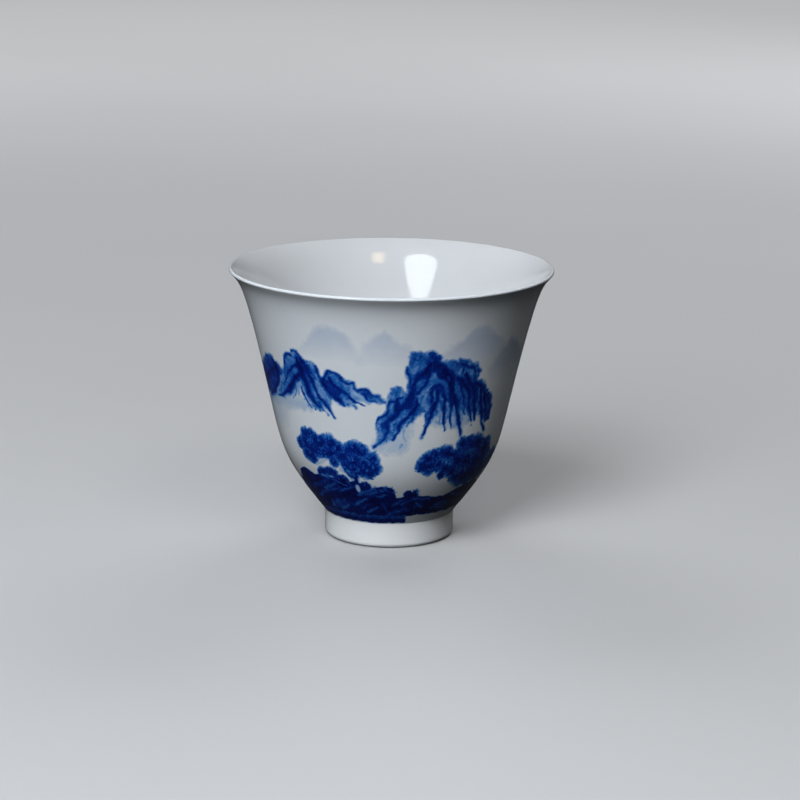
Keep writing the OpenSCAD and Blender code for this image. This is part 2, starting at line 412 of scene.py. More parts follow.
def signed_distance(outline, at, angles, heights, k):
    """Each cell's distance from a closed outline in millimetres, negative inside."""
    x = angles[None, :] * k + 0.6 * SWAY_ACROSS[at]
    y = heights[:, None] + 0.6 * SWAY_UP[at]
    p = np.array(outline, float) * [k, 1]
    nearest = np.full(x.shape, 1e9)
    is_inside = np.zeros(x.shape, bool)
    for (x0, y0), (x1, y1) in zip(p, np.roll(p, -1, axis=0)):
        length2 = max((x1 - x0) ** 2 + (y1 - y0) ** 2, 1e-9)
        t = np.clip(((x - x0) * (x1 - x0) + (y - y0) * (y1 - y0)) / length2, 0, 1)
        nearest = np.minimum(nearest, np.hypot(x - x0 - t * (x1 - x0), y - y0 - t * (y1 - y0)))
        if y0 != y1:
            is_inside ^= ((y0 > y) != (y1 > y)) & (x < (x1 - x0) * (y - y0) / (y1 - y0) + x0)
    return np.where(is_inside, -nearest, nearest)


MELT = 2.4


def wash(
    outline, value, rough=0.5, soft=0.15, tone=0.0, fade=None, foot=None, grow=0.0,
    only_darker=True, grain=0.8,
):
    """A filled outline with a rough edge; fade is (height of full ink, height of none).

    foot is a line of [angle, height] below which the ink melts away over MELT millimetres.
    """
    p = np.array(outline, float)
    low, high = p.min(axis=0), p.max(axis=0)
    at, angles, heights = window(low[0] - 4, high[0] + 4, low[1] - 2, high[1] + 2)
    d = signed_distance(outline, at, angles, heights, mm_at(p[:, 1].mean()))
    d = d + rough * 2 * (EDGE_WOBBLE[at] - 0.5) - grow
    cover = 1 - smooth(-soft, soft, d)
    if fade:
        cover = cover * smooth(fade[1], fade[0], heights)[:, None]
    if foot:
        line = np.array(foot, float)
        ends = np.interp(angles, line[:, 0], line[:, 1])[None, :] + 1.6 * (SLOW_TONE[at] - 0.5)
        cover = cover * smooth(ends - MELT, ends, heights[:, None])
    lay(at, cover, value + tone * 2 * (SLOW_TONE[at] - 0.5), only_darker, grain)


def dabs(count, points, above, below, size, value, seed):
    """Small round dabs strewn along a line, up to these many millimetres above and below it."""
    random = np.random.default_rng(seed)
    path = curved(points)
    for _ in range(count):
        i, s = random.integers(0, len(path) - 1), random.random()
        angle, height = path[i] * (1 - s) + path[i + 1] * s
        angle += random.normal(0, 0.25)
        height += random.uniform(-below, above)
        across = size * random.uniform(0.6, 1.3)
        dark = min(1, value * random.uniform(0.75, 1.1))
        at, angles, heights = around(angle, height, 1.3 * across / DEGREE_MM, 1.3 * across)
        d = np.hypot((angles[None, :] - angle) * mm_at(height), heights[:, None] - height)
        lay(at, 0.85 * np.exp(-((1.6 * d / across) ** 2)), dark, grain=0.3)


def needle(angle, height, lean, long, wide, value, only_darker=True):
    """One leaf: a short tapered dash that leans by this many radians."""
    k = mm_at(height)
    dx, dz = math.sin(lean) * long / 2, math.cos(lean) * long / 2
    reach = long / 2 + wide
    at, angles, heights = around(angle, height, reach / k, reach)
    x, y = (angles[None, :] - angle) * k, heights[:, None] - height
    t = np.clip((x * dx + y * dz) / (dx * dx + dz * dz), -1, 1)
    half = wide / 2 * (1 - 0.4 * t)
    cover = 1 - smooth(half - 0.1, half + 0.14, np.hypot(x - t * dx, y - t * dz))
    lay(at, 0.8 * cover, value, only_darker)


def foliage(clumps, seed, heart=0.9, rim=0.5):
    """Clumps of leaves, [angle, height, radius]: dark hearts, and needles that fan out of them."""
    random = np.random.default_rng(seed)
    for angle, height, radius in clumps:
        k = mm_at(height)
        at, angles, heights = around(angle, height, 1.4 * radius / k, 1.4 * radius)
        d = np.hypot((angles[None, :] - angle) * k, heights[:, None] - height)
        d = d / radius + 0.5 * (EDGE_WOBBLE[at] - 0.5)
        lay(at, 1 - smooth(0.95, 1.25, d), 0.3, grain=0.4)
        lay(at, 1 - smooth(0.75, 1.08, d), rim, grain=0.6)
        lay(at, (1 - smooth(0.2, 0.95, d)) * (0.55 + 0.8 * PATCHES[at]), heart, grain=0.6)
    for angle, height, radius in clumps:
        k = mm_at(height)
        for _ in range(int(2 * math.pi * radius**2)):
            turn = random.uniform(0, 2 * math.pi)
            q = random.random() ** 0.3
            x, y = radius * q * math.cos(turn), radius * q * math.sin(turn)
            lean = math.atan2(x, y + 0.4 * radius) + random.normal(0, 0.25)
            dark = 0.9 - 0.45 * q * q * random.random()
            long, wide = random.uniform(0.4, 0.8), random.uniform(0.16, 0.26)
            needle(angle + x / k, height + y, lean, long, wide, dark)
            if random.random() < 0.3:
                pale = random.uniform(0.5, 0.7)
                needle(angle + x / k + 0.7, height + y, lean, 0.8, 0.24, pale, only_darker=False)


# ---------------------------------------------------------------- the landscape


def far_hill(outline, value, gone, full):
    """A hill far off in the mist, with no detail, that fades out downwards."""
    wash(outline, value, rough=0.7, soft=1.1, tone=0.04, fade=(full, gone), grain=0)


def mist(outline, value):
    """A pale wash with no edge."""
    wash(outline, value, rough=1.0, soft=1.2, tone=0.05, grain=0)


def rock(outline, value, foot=None):
    """The middle tone of a mountain, with a pale skirt where the ink has spread."""
    wash(outline, 0.3, rough=0.5, soft=0.35, grow=0.3, foot=foot, grain=0.4)
    wash(outline, value, rough=0.6, soft=0.35, tone=0.22, foot=foot, grain=0.7)


def fold(wide, value, *points, thin=0.45, pale=0.12):
    """A dark fold of rock, as one soft stroke."""
    brush(list(points), wide, value, thin, pale)


def gleam(wide, value, *points):
    """A lighter face of rock between the folds."""
    brush(list(points), wide, value, thin=0.7, pale=0, only_darker=False)


def paint_distant_hills():
    start_motif("distant_hills")
    far_hill([(-46, 44), (-41, 49), (-36, 51.3), (-33, 53.2), (-31, 54.6), (-27.5, 55.5), (-21, 54.9),
        (-18.5, 54.2), (-17, 53), (-14.5, 50.5), (-10, 47), (-8, 44)], 0.115, 45.5, 54.5)
    far_hill([(-17, 43.4), (-14, 48), (-11, 51.4), (-7.5, 53.5), (-5, 54.5), (-2.5, 55), (-0.5, 54.7),
        (1.2, 53.4), (7, 51.4), (12, 48.5), (14, 43.4)], 0.105, 44.5, 54.5)
    far_hill([(14, 41), (18, 48), (24, 50.6), (30, 52.2), (32, 53.6), (34.5, 55), (38, 55.3),
        (40.5, 54.8), (43, 53.5), (49.5, 51.8), (53, 50), (57, 46), (57, 40), (40, 40)], 0.15, 42, 54.5)
    far_hill([(46, 44), (52, 48.4), (58, 50.6), (62, 50), (68, 47.8), (76, 45), (80, 42), (70, 38),
        (50, 38)], 0.19, 39, 50)


def paint_left_range():
    start_motif("left_range")
    haze = [(-104, 28), (-86, 27), (-68, 28), (-60, 30), (-55, 33), (-60, 35.6), (-104, 36)]
    wash(haze, 0.07, rough=0.6, soft=4, tone=0.03, grain=0)
    mist([(-101, 34.6), (-86, 36), (-66, 36.4), (-54, 37), (-44, 37), (-36, 35.6), (-40, 34.4),
        (-60, 33.6), (-86, 32.4)], 0.15)
    rock([(-99, 36.4), (-94, 37.9), (-90, 39.4), (-86, 40.4), (-80, 41.8), (-74, 43.2), (-70, 44.2),
        (-67, 45.2), (-63, 45.5), (-60.4, 45.2), (-58, 43.7), (-56, 43.2), (-53, 43), (-51.4, 44),
        (-50, 46.3), (-47.8, 47.5), (-46, 47.3), (-44.6, 48.3), (-43, 48.8), (-41.6, 48.4), (-40.2, 47.3),
        (-38, 46.4), (-34.6, 46.1), (-32.6, 45.4), (-31.8, 43.8), (-30.6, 42.6), (-28.8, 43.7),
        (-26.6, 45), (-22.6, 44.4), (-20.4, 43), (-15.2, 42.7), (-14.4, 40.9), (-10.2, 41.4), (-8, 40.2),
        (-4.6, 39.6), (-2, 38), (-5, 37.6), (-11, 38.4), (-15, 37.8), (-18, 36.2), (-22, 37), (-26, 38.6),
        (-27.6, 37), (-26, 34), (-30, 33.8), (-37, 35), (-40, 36.6), (-44, 39), (-47, 38), (-52, 36.8),
        (-60, 36), (-69, 35), (-86, 34.6), (-94, 35.2)], 0.47, foot=[(-86, 36), (-60, 37.6), (-50, 38.6),
        (-43, 41.4), (-37, 37.4), (-28, 37), (-26, 39), (-18, 38.4), (-14, 40), (-8, 39.2), (-2, 38.4)])
    # the low summit on the left
    wash([(-96, 36.6), (-91, 38), (-86, 39.2), (-76, 42), (-68, 44.6), (-61, 44.6), (-57.4, 42.6),
        (-56.4, 40.8), (-60, 38.4), (-68, 36), (-86, 35), (-92, 35.6)], 0.74, rough=0.4, soft=0.6,
        tone=0.08)
    fold(1.9, 0.96, (-60.4, 44.4), (-57.6, 42.4), (-58, 40.4), (-61, 38.6), (-66, 36.8), (-74, 34.8),
        thin=0.6)
    fold(1.5, 0.96, (-60, 42.6), (-65, 41.2), (-72, 39.4), (-84, 37), thin=0.8)
    fold(0.7, 0.85, (-68, 44.8), (-64, 45), (-60.6, 44.6), thin=0.9)
    gleam(0.9, 0.74, (-62, 39.8), (-68, 38.2), (-80, 36))
    gleam(0.5, 0.7, (-58, 43.2), (-56.4, 43), (-54, 42.9))
    # the tall summit: its dark arms, with lighter faces between them
    fold(2.1, 0.95, (-43.4, 42.9), (-46, 41.3), (-49.4, 39.4), (-53, 37.7), (-57, 36.7), (-62, 35.8),
        thin=0.35)
    fold(1.1, 0.84, (-43, 45.5), (-46, 44.6), (-49, 42.8), (-52, 41), (-55, 39.4))
    fold(0.9, 0.66, (-50.2, 45.2), (-52, 43.2), (-54.4, 41.4))
    fold(0.75, 0.9, (-51, 44.6), (-49.4, 46.4), (-47.4, 47.1), (-45.6, 47.1), thin=0.8)
    fold(0.55, 0.82, (-45, 48), (-43.4, 48.5), (-41.8, 48.1), (-40.6, 47.1), thin=0.9)
    fold(2.3, 0.97, (-42.4, 46.4), (-41.6, 44.4), (-40.4, 42.6), (-39, 40.4), (-37.6, 38.4),
        (-35.8, 36.7), (-34.2, 35.7), thin=0.4)
    fold(1.8, 0.94, (-40.4, 46.8), (-38.4, 45.4), (-37, 43.8), (-35.8, 41.8), (-34.6, 40), (-33.4, 38.4))
    fold(0.8, 0.8, (-37, 45.4), (-35, 44), (-33.6, 42.4), (-31.4, 40.4))
    fold(0.9, 0.9, (-32.8, 45.2), (-32.2, 43.8), (-31.2, 42.5), (-29.6, 41.4), thin=0.7)
    fold(0.95, 0.9, (-33.4, 38), (-31.4, 37.1), (-29.6, 36.1), (-27.8, 35), (-25.4, 33.3), thin=0.45)
    fold(0.7, 0.78, (-34.4, 36.9), (-32.8, 35.5), (-31.2, 34.9))
    fold(0.85, 0.86, (-43.2, 40.4), (-42, 38.9), (-40.6, 37.3), (-39, 35.9), (-37.8, 35))
    fold(0.6, 0.5, (-46, 39), (-47.4, 37.7), (-49.4, 36.5))
    gleam(0.75, 0.54, (-43.8, 44.2), (-46.4, 42.8), (-49.4, 41), (-52.4, 39.6))
    gleam(0.9, 0.5, (-43.4, 47.2), (-44.4, 46), (-47, 45.4), (-49, 44.4))
    gleam(1.1, 0.36, (-54, 42), (-57, 39.6), (-60, 38), (-64, 36.4))
    gleam(1.5, 0.3, (-43, 41.4), (-44.2, 40), (-45, 38))
    gleam(0.6, 0.36, (-41.2, 40.2), (-39.6, 37.8), (-38.4, 36.6))
    gleam(0.7, 0.66, (-38.4, 43.2), (-37.6, 42))
    gleam(0.8, 0.45, (-34.8, 45.4), (-34, 44.4))
    gleam(1.3, 0.38, (-33.2, 42), (-31.2, 40), (-29.4, 38.4), (-28, 37.2))
    # the hill on its right and the low ridge beyond it
    fold(1.7, 0.94, (-30, 42.4), (-28.8, 41), (-27.4, 39.9), (-25, 38.7), (-22.8, 37.8), (-20.2, 37),
        thin=0.35)
    fold(1.4, 0.95, (-26.6, 43.1), (-25, 41.5), (-22.8, 40.6), (-20, 40), (-18, 38.9), (-15.8, 37.9),
        (-13, 37.4), (-10.6, 37), thin=0.2)
    wash([(-29, 42.6), (-26, 43), (-24, 41.4), (-21, 40.4), (-22.4, 39), (-25, 38.8), (-28, 40.4)], 0.74,
        0.4, 0.4, 0.1)
    fold(0.6, 0.88, (-29.2, 42.9), (-27.2, 44.5), (-25.8, 44.7), (-22.8, 44), (-20.8, 42.8), (-18, 42.4),
        (-15.4, 42.4), thin=0.9)
    fold(0.5, 0.8, (-15.4, 42.2), (-15, 41.2), (-13.8, 40.8), (-12, 40.9), thin=0.9)
    gleam(1.1, 0.5, (-25.4, 43.8), (-23, 42.6), (-20.4, 41.6), (-17, 41.2))
    gleam(1, 0.4, (-21, 38.6), (-18.4, 37.4))
    gleam(1.1, 0.22, (-15.8, 40.4), (-12.4, 39.2), (-9, 38))
    wash([(-13, 40.8), (-10.6, 41.2), (-8.8, 40.2), (-7, 39.2), (-8.6, 38.8), (-11, 39.8)], 0.7, 0.3, 0.3,
        0.1)
    fold(0.6, 0.84, (-13.6, 40.9), (-10.6, 41.2), (-9, 40.5), (-7.6, 39.9), (-5, 39.5), thin=0.7)
    fold(0.6, 0.76, (-12.2, 40.1), (-10, 39), (-8, 38.4), (-6, 38.1), thin=0.6)
    dabs(26, [(-22, 41.6), (-19, 40.8), (-16, 39.8)], 1, 2.4, 0.36, 0.66, 48)
    dabs(12, [(-22, 37.6), (-18.6, 36.6), (-15, 36.6)], 0.6, 0.3, 0.5, 0.6, 53)
    dabs(18, [(-42, 36.6), (-38, 35.4), (-33, 35), (-29, 34.3)], 0.5, 0.3, 0.5, 0.6, 52)
    dabs(22, [(-50, 46.2), (-47, 47.3), (-43, 48.6), (-39.4, 46.8), (-33.4, 45.8)], 0.25, 0.4, 0.36, 0.7,
        47)
    dabs(10, [(-22, 43.8), (-19.6, 43), (-15, 42.6)], 0.4, 0.2, 0.34, 0.75, 49)


def paint_main_peak():
    start_motif("main_peak")
    mist([(-8, 29), (0, 30), (8, 34), (11, 33), (10, 28), (6, 25.4), (0, 25.4), (-9, 26)], 0.11)
    mist([(15, 37), (24, 37), (34, 37), (42, 35), (40, 31.6), (30, 31), (24, 31.6), (18, 33)], 0.16)
    rock([(-9, 27), (-6.4, 28.8), (-5.6, 30.4), (-6, 32.4), (-5.9, 34), (-5, 34.9), (-3, 35.4),
        (-1.6, 36.4), (-1.2, 38.4), (-0.6, 40), (0.8, 41.2), (2.8, 41.6), (4.8, 41.4), (6.2, 40.6),
        (7.5, 40.8), (7.9, 42.4), (7.1, 44), (6.7, 46), (7.8, 48.2), (8.2, 49.8), (9.6, 50.3),
        (11.6, 50.2), (13, 49.5), (16, 50.2), (18, 49.9), (21.4, 48.7), (21.7, 47.9), (28.2, 47.2),
        (29.2, 47.8), (33, 47.4), (38.8, 46.2), (41.2, 44.3), (40.4, 43), (40.8, 42), (43, 42),
        (45.4, 40.7), (46, 39.4), (48.4, 38.9), (52, 37.4), (54, 34.6), (54, 31), (50, 31.4), (44, 32.6),
        (36, 33.4), (30, 33.4), (24, 33.8), (20, 34), (17.6, 35), (14.6, 35.4), (12.6, 34.4), (8.6, 32),
        (5, 29.6), (1, 27.6), (-4, 26.6)], 0.5, foot=[(-9, 28.6), (-4, 29.6), (0, 30.6), (5, 33),
        (9, 35.2), (12.4, 36), (15, 36.4), (18, 36), (24, 36.6), (30, 36.4), (36, 36), (44, 35),
        (54, 33)])
    # the crown of the peak
    fold(0.8, 0.66, (11, 49.9), (9, 49.4), (8.4, 47.6), (8.8, 46.6))
    fold(1.1, 0.82, (6.9, 46.4), (7.7, 45), (8.2, 43.6), (8.8, 42))
    fold(0.9, 0.64, (12.6, 49), (12, 47.4), (11.6, 46))
    wash([(13.6, 48.4), (16, 49.8), (18.4, 49.5), (20.8, 48.5), (20.6, 47.6), (15.6, 47.6)], 0.78, 0.7,
        0.5, 0.1)
    wash([(13.8, 46), (15.4, 48), (18.4, 48.3), (21.4, 47.4), (23.6, 46.3), (26.4, 44.8), (28.6, 43.2),
        (30, 41), (28, 40), (26, 41.8), (23.6, 43.4), (20.6, 44), (18.6, 44.9), (16.6, 45), (14.8, 44.4)],
        0.88, rough=0.5, soft=0.5, tone=0.06)
    gleam(0.8, 0.76, (16.6, 46.6), (17.4, 45.8))
    # the left shoulder: dark folds that run down to the left
    fold(1.8, 0.94, (15.4, 46.6), (13.4, 45.2), (11.6, 43.8), (10.2, 42.2), (9.2, 40.6), (7.8, 39),
        (6, 37.4), (4, 36.4), (2, 35), (-0.4, 34), (-1.7, 32.6), (-1.3, 31.2), (-2.4, 29.8), (-4.4, 28.6),
        (-8, 27.4), thin=0.45, pale=0.2)
    fold(1.2, 0.9, (16, 45.4), (15.2, 43.4), (14.4, 42), (12.6, 40.9), (11, 40.3), thin=0.5)
    fold(1.5, 0.9, (9, 40), (8.6, 38.4), (8, 37), (6.4, 36.6), thin=0.8)
    fold(1.3, 0.93, (11.6, 39), (11.7, 37.4), (10.8, 36.1), (9.2, 35), (7, 34), (5, 33), (3.9, 31.9),
        (3.2, 30.6), (1.6, 29.2), thin=0.6)
    fold(1.6, 0.94, (3.2, 38.8), (3.6, 37.4), (3.5, 36), (2.2, 34.9), (0.6, 34.3), thin=0.8)
    fold(0.65, 0.88, (-0.9, 38.3), (1, 38.5), (3, 38.7), (5.4, 39.4), thin=0.9)
    fold(0.65, 0.86, (-0.9, 38.2), (-1, 37), (-0.8, 36.1), (-2, 35.3), (-3.8, 34.9), (-5.3, 34.4),
        (-5.6, 33), thin=0.7)
    fold(0.6, 0.76, (-3, 33), (-3.2, 31.6), (-4.4, 30.2))
    fold(0.6, 0.74, (2.6, 33.6), (1.6, 32.2), (1, 31))
    fold(0.9, 0.66, (2, 39.8), (3.4, 40))
    fold(0.8, 0.7, (12, 35.8), (10, 33.9), (8.6, 33), (7.4, 32.2), thin=0.5)
    fold(0.7, 0.3, (6.6, 31.6), (6.6, 30.2), (8, 28.8))
    fold(0.6, 0.36, (5.6, 28), (4.8, 26.8))
    gleam(1.2, 0.42, (10, 46.4), (9.8, 45.4))
    gleam(1, 0.5, (10.6, 48.8), (10.4, 47.8))
    gleam(0.9, 0.52, (12.6, 43.1), (12.2, 42.2))
    gleam(1.1, 0.46, (0.6, 37.6), (0.7, 36.2))
    gleam(0.9, 0.46, (6.6, 36.2), (5.6, 35.2), (3.6, 34.2), (2, 33.4))
    gleam(0.8, 0.4, (-4.3, 33.6), (-4.6, 32), (-4, 30.6), (-5.4, 29.2))
    gleam(0.85, 0.42, (0.6, 33), (0.7, 31.4), (-0.6, 29.8), (-2.4, 28.6))
    gleam(1, 0.8, (9.4, 37.7), (9.2, 36.8))
    # the pale face under the arch, and the knot that hangs in it
    gleam(1.2, 0.46, (17.2, 44.2), (17, 42.8), (16.2, 41.4), (14.4, 40.4), (12.6, 39.8))
    gleam(0.55, 0.56, (18.4, 43.8), (20.6, 43.1), (23, 42.6), (24.4, 41.4), (24.8, 40.2))
    gleam(0.9, 0.5, (12.6, 39.8), (12.8, 38))
    gleam(1.4, 0.42, (15.4, 40.6), (15.4, 39), (15, 37.4), (16.6, 36.2))
    fold(0.5, 0.62, (14, 39.6), (13.6, 38))
    fold(1.1, 0.88, (17.2, 41), (18.8, 41.9), (20.8, 42), (23, 41.2), (24.2, 39.8), (24.6, 38.2),
        thin=0.8)
    wash([(18, 41.4), (20.8, 41.6), (22.4, 40.4), (21.8, 38.6), (21.2, 37), (19.6, 36.4), (18.2, 37.6),
        (16.2, 38.6), (16.4, 39.8)], 0.74, rough=0.6, soft=0.5, tone=0.2)
    fold(0.7, 0.93, (18.4, 40.8), (18.6, 39.2), (18, 37.6), thin=0.6)
    fold(0.7, 0.93, (20.8, 40.6), (20.8, 38.8), (20, 37.2), thin=0.6)
    gleam(0.5, 0.5, (19.6, 40.6), (19.7, 39), (19, 37.6))
    gleam(0.5, 0.5, (17.2, 39.6), (17, 38.4))
    fold(1.5, 0.94, (20, 37.8), (19.2, 36), (18.6, 34.6), (17.8, 33), (17, 31.8), (16.4, 30.8),
        (15.8, 30.1), thin=0.4)
    fold(0.8, 0.7, (16.4, 35.4), (16.4, 33.4), (15.8, 32.2))
    gleam(0.5, 0.6, (17, 35), (17.2, 34))
    dabs(2, [(15, 29.4), (15.1, 29.3)], 0.05, 0.05, 0.55, 0.7, 54)
    # the folds that fall to the right
    fold(1.9, 0.96, (23, 45.6), (25.4, 43.4), (27.2, 41), (28.6, 38.8), (30.4, 37), (32, 34.8),
        (33.4, 32.8), (34.8, 30.8), (36, 29), thin=0.5, pale=0.06)
    fold(1.2, 0.92, (23.6, 39.6), (24.8, 37.6), (25.4, 35.8), (25.8, 33.6), (25.9, 32), (26.3, 30.7),
        thin=0.4)
    fold(0.9, 0.86, (27, 39), (27.9, 36.8), (28.4, 35), (29, 33.2), (29.7, 31.3), thin=0.4)
    fold(0.6, 0.7, (21.4, 36), (20.7, 34.9))
    fold(0.6, 0.5, (23.2, 35), (23.4, 32.5))
    fold(0.9, 0.84, (31.2, 41.6), (32.6, 39.4), (34.4, 37.4), (35.4, 35.6), (36.4, 34.1), thin=0.4)
    fold(1.8, 0.95, (29.6, 43.6), (32.4, 42), (35, 40.4), (37.2, 38.8), (38.3, 36.4), (39.6, 34.2),
        (41.2, 32.2), thin=0.4)
    fold(1.6, 0.95, (34, 44), (36, 41.8), (39, 40.4), (40.6, 38), (42, 35.4), (43.6, 32.3), thin=0.5)
    fold(1.5, 0.97, (40, 41.4), (43, 40.4), (44.6, 38.2), (45.6, 35.8), (47, 33.4), (49, 31.2),
        (51.4, 28.8), thin=0.5)
    wash([(38.6, 41.4), (43, 41.4), (45.2, 39.8), (47.4, 38.4), (51.6, 36.8), (53.4, 34.6), (54.6, 31.4),
        (51, 31), (48.6, 33), (45.8, 35.4), (42, 37), (39, 38.6)], 0.78, rough=0.6, soft=0.5, tone=0.2)
    gleam(0.55, 0.55, (42.4, 40.2), (43.4, 38.2), (44, 36.4))
    gleam(0.55, 0.55, (45.4, 38.8), (46.6, 36.8), (47.6, 34.8))
    gleam(0.55, 0.58, (48.6, 37.6), (50, 35.6), (51, 33.6))
    fold(0.9, 0.95, (47, 38.4), (48.6, 36.2), (50, 33.8), (51, 31.8), thin=0.5)
    fold(1, 0.86, (26, 45.4), (28.6, 43.6), (30.4, 42.2))
    fold(0.9, 0.88, (32.2, 46.2), (34.4, 45.5), (36.8, 45.3), (38.2, 44.4), (38.8, 43.2), (38.6, 42),
        thin=0.9)
    fold(0.8, 0.84, (30, 46.9), (31.6, 46.3), (32.4, 45.6))
    fold(0.8, 0.85, (33.4, 44.4), (34.4, 42.8))
    fold(0.6, 0.66, (39.8, 45), (41, 44.3))
    gleam(1, 0.46, (28.2, 46.2), (28.6, 44.9))
    gleam(0.9, 0.36, (30.3, 45.4), (30.6, 44.4))
    gleam(0.6, 0.46, (32.4, 45.2), (32.6, 44.2))
    fold(0.7, 0.84, (31.4, 45.1), (31.5, 44.6))
    gleam(0.7, 0.55, (34.4, 44.4), (36, 44.2))
    gleam(0.6, 0.68, (24.6, 44), (25.6, 42.8))
    gleam(1.1, 0.46, (22.8, 39.4), (23, 38.3))
    gleam(1.1, 0.4, (21.8, 37.6), (22.2, 36), (21.8, 34.8))
    gleam(0.6, 0.42, (25.8, 37.8), (27, 35.6), (27.4, 33.8))
    gleam(0.65, 0.38, (29.4, 36.8), (30.8, 34.8), (31.6, 33.4))
    gleam(0.7, 0.6, (29.4, 42.2), (29.8, 40.2), (31.6, 38.2))
    gleam(0.5, 0.46, (33, 38), (35, 35.6), (35, 34))
    gleam(0.6, 0.62, (33.4, 40.4), (35.6, 38.6), (37, 36.8))
    gleam(0.5, 0.6, (38.8, 37), (40.4, 34.8))
    dabs(26, [(8.8, 49.4), (12, 49.6), (16.6, 49.9), (20.4, 48.9)], 0.3, 1.6, 0.4, 0.76, 41)
    dabs(40, [(27, 46.8), (30, 47.2), (34, 46.9), (38.6, 45.8), (40.6, 44)], 0.3, 1.2, 0.42, 0.76, 42)
    dabs(10, [(0, 40.6), (3, 41.2), (6, 40.4)], 0.2, 1, 0.4, 0.62, 44)
    dabs(16, [(42.6, 41.4), (45.4, 40), (48, 38.6), (52, 36.6)], 0.5, 0.5, 0.5, 0.86, 45)
    dabs(10, [(22, 33), (30, 31.6), (37.4, 33.4), (41.8, 31.2)], 0.3, 0.3, 0.5, 0.44, 55)


def paint_left_trees():
    start_motif("left_trees")
    foliage([(-50.2, 25.4, 1.5), (-46.6, 25.8, 2), (-45, 28.2, 1.7), (-41.4, 28, 1.9), (-46.6, 23.4, 1.7),
        (-43.4, 22.6, 1.7), (-42.4, 25, 2.2), (-38, 26.8, 2.1), (-38.4, 24.4, 1.7), (-34.6, 27, 1.9),
        (-34.2, 24.6, 1.8), (-30.6, 27.4, 1.9), (-30.4, 24.8, 2), (-27.2, 26.2, 1.9), (-26, 24, 1.6),
        (-29.6, 22.4, 1.3), (-41, 19.1, 1), (-38.8, 19.5, 1.2), (-36, 19.3, 1.2), (-33.4, 19.7, 1.3),
        (-31, 19.3, 1.2)], 61)
    fold(0.9, 0.95, (-25.4, 21.6), (-22.4, 20), (-19.6, 18.8), thin=0.9, pale=0)
    fold(1.2, 0.97, (-18.8, 20), (-18.6, 18.6), (-18.2, 17.2), thin=0.9, pale=0)
    foliage([(-23.2, 24.2, 1.5), (-21, 25.8, 1.7), (-17.4, 26.6, 2), (-13.4, 25.6, 1.9), (-22, 22.2, 1.9),
        (-18, 23.4, 2.3), (-13.6, 22.8, 2.3), (-18.6, 21, 1.7), (-9, 24.2, 1.9), (-8.4, 21.8, 1.9),
        (-10.4, 20.2, 1.4), (-14.6, 20.8, 1.6)], 62)
    gleam(0.9, 0.14, (-42.4, 20.9), (-38.4, 21.6), (-35, 22.8))
    gleam(1.1, 0.12, (-26.6, 21.6), (-26.6, 20.6))
    gleam(0.6, 0.16, (-27.2, 20.4), (-25.4, 20.2))


def paint_right_trees():
    start_motif("right_trees")
    foliage([(52, 18, 2.8), (45.4, 18, 2.6), (39.6, 18.6, 2.2), (35.4, 20.2, 2), (60, 18.4, 3),
        (69, 20.4, 2.6), (56, 22, 3.4), (49.4, 21.4, 3.2), (43, 22.2, 3), (37, 22.8, 2.6),
        (30.4, 21, 1.7), (28.8, 19.4, 1.1), (25.4, 22.2, 1.9), (20.6, 21.6, 1.9), (17, 22.3, 1.8),
        (19.4, 24, 1.8), (23.6, 24.6, 1.9), (28.6, 24.9, 2.2), (33.4, 24.2, 1.8), (38.4, 26.6, 1.9),
        (43.4, 26.4, 2.2), (49, 26, 2.4), (56, 24.4, 2.6)], 63, heart=0.94)


SHORE_LOW = 8.4


def shore(node, top, seed, slant, count):
    """A stretch of dark bank from SHORE_LOW up to the line top, with slanting streaks in it."""
    start_motif(node)
    outline = top + [(top[-1][0], SHORE_LOW), (top[0][0], SHORE_LOW)]
    wash(outline, 0.93, rough=0.2, soft=0.2, tone=0.08, grain=0.4)
    random = np.random.default_rng(seed)
    line = np.array(top, float)
    for _ in range(count):
        angle = random.uniform(line[0, 0] + 2, line[-1, 0] - 2)
        head = np.interp(angle, line[:, 0], line[:, 1])
        height = random.uniform(SHORE_LOW + 0.8, head - 0.8)
        long = random.uniform(6, 14)
        fall = slant * long * random.uniform(0.6, 1.2)
        start, stop = (angle - long / 2, height - fall / 2), (angle + long / 2, height + fall / 2)
        streak = [start, (angle, height + 0.15), stop]
        wide = random.uniform(0.7, 1.7)
        if random.random() < 0.45:
            brush(streak, wide, random.uniform(0.5, 0.68), thin=0.7, pale=0, only_darker=False)
        else:
            brush(streak, wide, random.uniform(0.94, 1), 0.6, 0)


